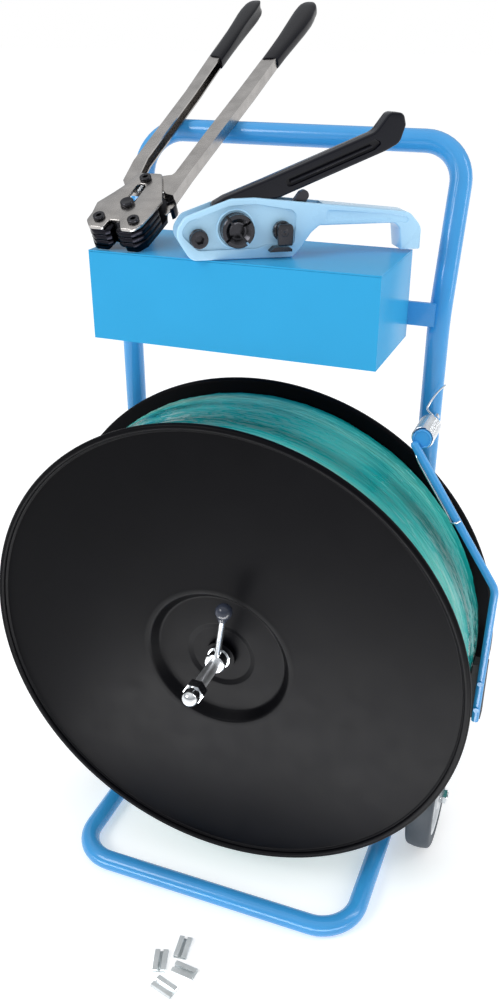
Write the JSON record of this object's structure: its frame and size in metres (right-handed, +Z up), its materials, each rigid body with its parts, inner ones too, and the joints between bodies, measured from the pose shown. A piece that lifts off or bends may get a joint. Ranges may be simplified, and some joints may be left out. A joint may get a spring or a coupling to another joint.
{
  "type": "strapping cart with hand tools",
  "caption": "Wheeled strap dispenser: tube frame with a braked strap reel, a tool box, and a hand tensioner and seal crimper resting on its lid.",
  "frame": {"origin": "on the floor under the middle of the whole object's box", "axes": "+Z up, +Y to the back of the cart, +X to its right seen from the front"},
  "size_m": [0.6035, 0.7128, 1.051],
  "materials": {
    "frame_blue": "gloss powder coat",
    "box_blue": "gloss powder coat",
    "tensioner_blue": "gloss enamel",
    "flange_black": "satin gloss enamel",
    "black_paint": "gloss enamel",
    "zinc": "bright zinc plate",
    "gunmetal": "blackened steel",
    "nickel": "satin nickel plate",
    "dark_steel": "oiled black steel",
    "steel": "plain steel",
    "strap_green": "streaked translucent strap",
    "cardboard": "wound board",
    "ball_plastic": "polished phenolic",
    "grip_plastic": "dipped vinyl",
    "tyre_rubber": "smooth rubber",
    "rim_grey": "moulded",
    "brake_black": "brake rubber",
    "seal_zinc": "zinc coated strip"
  },
  "bodies": {
    "frame": {"handle_hoop": "frame_blue", "foot_hoop": "frame_blue", "joint_sleeves": "steel", "box_rail": "frame_blue", "axle_beam": "frame_blue", "bearing_housing": "frame_blue", "spindle_bearings": "steel", "wheel_gussets": "frame_blue", "wheel_axles": "zinc", "axle_spacers": "steel", "axle_nuts": "zinc", "toolbox_shell": "box_blue", "toolbox_screws": "steel", "brake_pivot_pin": "zinc", "spring_coil": "zinc"},
    "lid": {"toolbox_lid": "box_blue"},
    "reel": {"spindle": "zinc", "spindle_collar": "steel", "rear_flange": "flange_black", "hub_sleeve": "steel", "drum_ring": "steel", "drum_spokes": "steel", "core_tube": "cardboard", "strap_coil": "strap_green", "front_flange": "flange_black", "front_boss": "flange_black", "clamp_washer": "zinc", "end_cap_nut": "zinc", "rear_lock_nut": "zinc"},
    "clamp": {"clamp_nut": "zinc", "clamp_lever": "zinc", "ball_knob": "ball_plastic"},
    "brake_arm": {"brake_rod": "frame_blue", "brake_pad": "brake_black", "pad_screws": "frame_blue", "spring_leg": "zinc"},
    "wheel_left": {"tyre_left": "tyre_rubber", "rim_left": "rim_grey"},
    "wheel_right": {"tyre_right": "tyre_rubber", "rim_right": "rim_grey"},
    "tensioner": {"tensioner_body": "tensioner_blue", "nose_roller": "gunmetal", "gripper_foot": "gunmetal"},
    "tensioner_windlass": {"windlass": "gunmetal", "ratchet_wheel": "gunmetal"},
    "tensioner_lever": {"tension_lever": "black_paint"},
    "gripper": {"gripper_cam": "gunmetal", "gripper_lever": "gunmetal"},
    "sealer": {"sealer_front_plate": "nickel", "sealer_rear_plate": "nickel", "sealer_bolts": "gunmetal", "sealer_spacers": "dark_steel"},
    "sealer_left_handle": {"left_arm": "nickel", "left_grip": "grip_plastic"},
    "sealer_right_handle": {"right_arm": "nickel", "right_grip": "grip_plastic"},
    "sealer_left_jaw": {"left_jaw": "dark_steel"},
    "sealer_right_jaw": {"right_jaw": "dark_steel"},
    "sealer_toggle": {"toggle_pin": "gunmetal"},
    "seals": {"crimp_seals": "seal_zinc"}
  },
  "joints": [
    {"name": "reel_spin", "type": "hinge", "parent": "frame", "child": "reel", "pos_m": [0, -0.0805, 0.345], "axis": [0, 1, 0], "continuous": true},
    {"name": "clamp_turn", "type": "hinge", "parent": "reel", "child": "clamp", "pos_m": [0, -0.156, 0.345], "axis": [0, -1, 0], "range_deg": [0, 360]},
    {"name": "brake_swing", "type": "hinge", "parent": "frame", "child": "brake_arm", "pos_m": [0.2, -0.026, 0.618], "axis": [0, -1, 0], "range_deg": [0, 25], "stiffness_Nm_per_rad": 1.5, "springref_deg": -28.65},
    {"name": "wheel_left_spin", "type": "hinge", "parent": "frame", "child": "wheel_left", "pos_m": [-0.2435, 0.007, 0.075], "axis": [1, 0, 0], "continuous": true},
    {"name": "wheel_right_spin", "type": "hinge", "parent": "frame", "child": "wheel_right", "pos_m": [0.2435, 0.007, 0.075], "axis": [1, 0, 0], "continuous": true},
    {"name": "lid_lift", "type": "slide", "parent": "frame", "child": "lid", "axis": [0, 0, 1], "range_m": [0, 0.12]},
    {"name": "tensioner_lift", "type": "slide", "parent": "lid", "child": "tensioner", "axis": [0, 0, 1], "range_m": [0, 0.15]},
    {"name": "tension_lever_pull", "type": "hinge", "parent": "tensioner", "child": "tensioner_lever", "pos_m": [-0.00419, -0.08644, 0.8334], "axis": [0.5534, -0.8329, 0], "range_deg": [0, 70]},
    {"name": "windlass_spin", "type": "hinge", "parent": "tensioner", "child": "tensioner_windlass", "pos_m": [0.00412, -0.09894, 0.8334], "axis": [0.5534, -0.8329, 0], "continuous": true},
    {"name": "gripper_release", "type": "hinge", "parent": "tensioner", "child": "gripper", "pos_m": [0.04335, -0.07287, 0.8308], "axis": [0.5534, -0.8329, 0], "range_deg": [-12, 0], "stiffness_Nm_per_rad": 1.5, "springref_deg": 17.19},
    {"name": "sealer_lift", "type": "slide", "parent": "lid", "child": "sealer", "axis": [0, 0, 1], "range_m": [0, 0.15]},
    {"name": "sealer_left_handle_open", "type": "hinge", "parent": "sealer", "child": "sealer_left_handle", "pos_m": [-0.1249, -0.0397, 0.86708], "axis": [0, -0.4355, 0.9002], "range_deg": [0, 30]},
    {"name": "sealer_right_handle_open", "type": "hinge", "parent": "sealer", "child": "sealer_right_handle", "pos_m": [-0.1249, -0.0397, 0.86708], "axis": [0, -0.4355, 0.9002], "range_deg": [-30, 0]},
    {"name": "sealer_left_jaw_open", "type": "hinge", "parent": "sealer", "child": "sealer_left_jaw", "pos_m": [-0.14759, -0.1046, 0.83569], "axis": [0, -0.4355, 0.9002], "range_deg": [-12, 0]},
    {"name": "sealer_right_jaw_open", "type": "hinge", "parent": "sealer", "child": "sealer_right_jaw", "pos_m": [-0.10701, -0.1058, 0.83511], "axis": [0, -0.4355, 0.9002], "range_deg": [0, 12]},
    {"name": "toggle_slide", "type": "slide", "parent": "sealer", "child": "sealer_toggle", "axis": [0.033, 0.8997, 0.4352], "range_m": [0, 0.02]},
    {"name": "seals_lift", "type": "slide", "parent": "frame", "child": "seals", "axis": [0, 0, 1], "range_m": [0, 0.1]}
  ],
  "couplings": [
    {"joint": "sealer_right_handle_open", "follows": "sealer_left_handle_open", "ratio": -1},
    {"joint": "sealer_left_jaw_open", "follows": "sealer_left_handle_open", "ratio": -0.4},
    {"joint": "sealer_right_jaw_open", "follows": "sealer_left_handle_open", "ratio": 0.4},
    {"joint": "toggle_slide", "follows": "sealer_left_handle_open", "m_per_rad": 0.037433}
  ]
}
